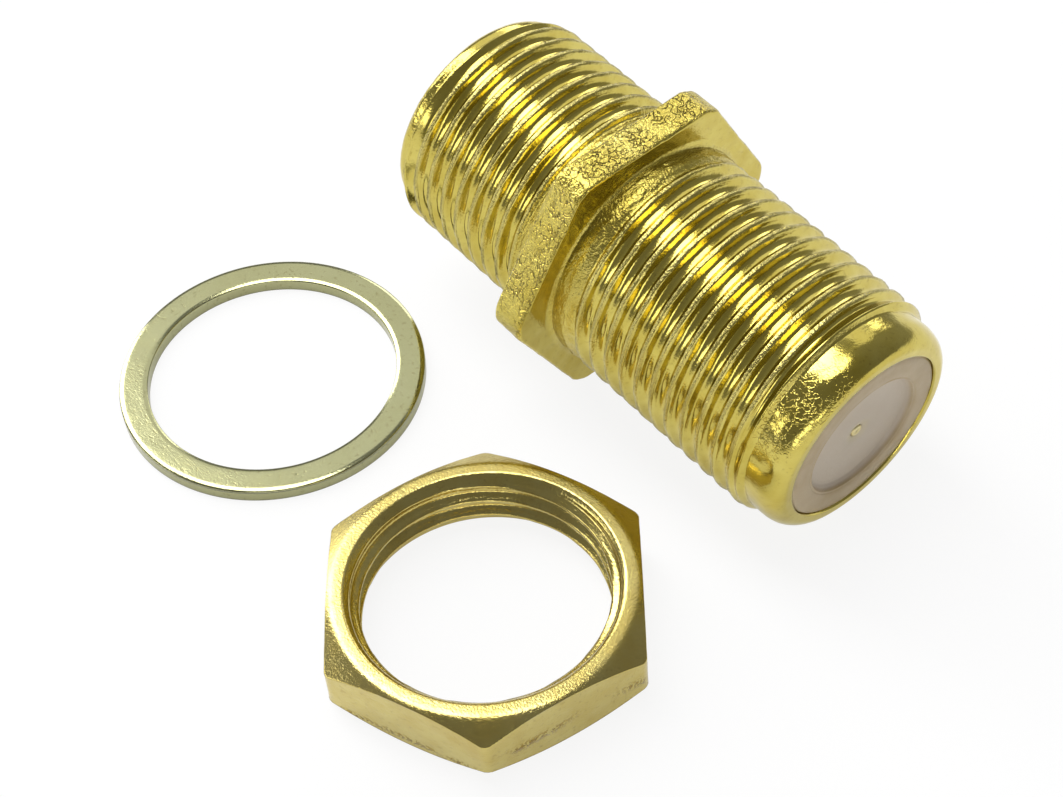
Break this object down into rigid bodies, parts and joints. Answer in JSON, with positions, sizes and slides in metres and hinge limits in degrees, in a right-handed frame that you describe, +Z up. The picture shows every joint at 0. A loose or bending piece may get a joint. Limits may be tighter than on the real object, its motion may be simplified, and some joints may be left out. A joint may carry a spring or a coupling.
{
  "type": "f connector coupler",
  "caption": "Female to female threaded coaxial coupler with a hexagonal flange and an insulated centre socket at each end, lying beside its panel nut and flat washer.",
  "frame": {"origin": "on the surface that the three loose things lie on, in the middle of the ground that they cover", "axes": "+X runs along the barrel seen from above, towards its long end; +Z is up; the barrel's own axis dips 5 degrees towards the long end, because it rests on its flange and its thread"},
  "size_m": [0.027, 0.0256, 0.0112],
  "materials": {
    "gold_plate": "bright gold-coloured plating with a fine pebbled texture",
    "insulator_plastic": "milky, slightly translucent moulded plastic",
    "contact_metal": "plated spring metal",
    "nut_plate": "bright gold-coloured plating over turned brass",
    "washer_plate": "pale gold-coloured plating, finely brushed"
  },
  "bodies": {
    "root": {"barrel": "gold_plate", "near_insulator": "insulator_plastic", "far_insulator": "insulator_plastic", "centre_contact": "contact_metal", "panel_nut": "nut_plate", "flat_washer": "washer_plate"}
  },
  "joints": []
}
